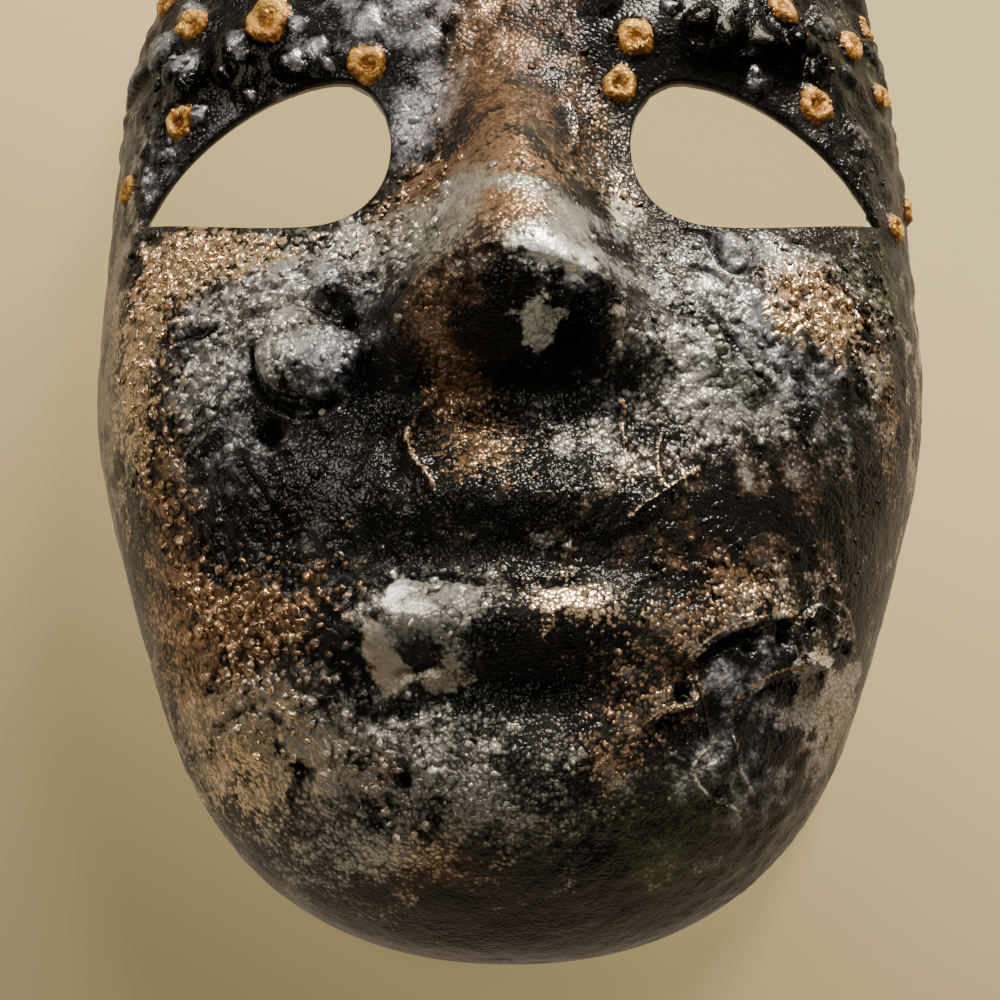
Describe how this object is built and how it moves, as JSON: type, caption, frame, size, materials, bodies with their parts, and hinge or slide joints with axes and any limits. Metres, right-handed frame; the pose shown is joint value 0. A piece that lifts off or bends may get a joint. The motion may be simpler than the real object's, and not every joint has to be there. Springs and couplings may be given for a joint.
{
  "type": "hand-painted full face mask",
  "caption": "Full-length face mask: a thin moulded shell with almond eye holes, a plain closed mouth and a rough, dark, mottled metallic paint finish.",
  "frame": {"origin": "under the middle of the mask's box, in the plane that its rim rests on", "axes": "+X to the right as the face is looked at, +Y from chin to forehead, +Z out of the face"},
  "size_m": [0.172, 0.246, 0.0876],
  "materials": {
    "painted_shell": "rough black and dark brown paint with silver, copper and gold metallic patches; bare pale pulp on the back"
  },
  "bodies": {
    "root": {"mask_shell": "painted_shell"}
  },
  "joints": []
}
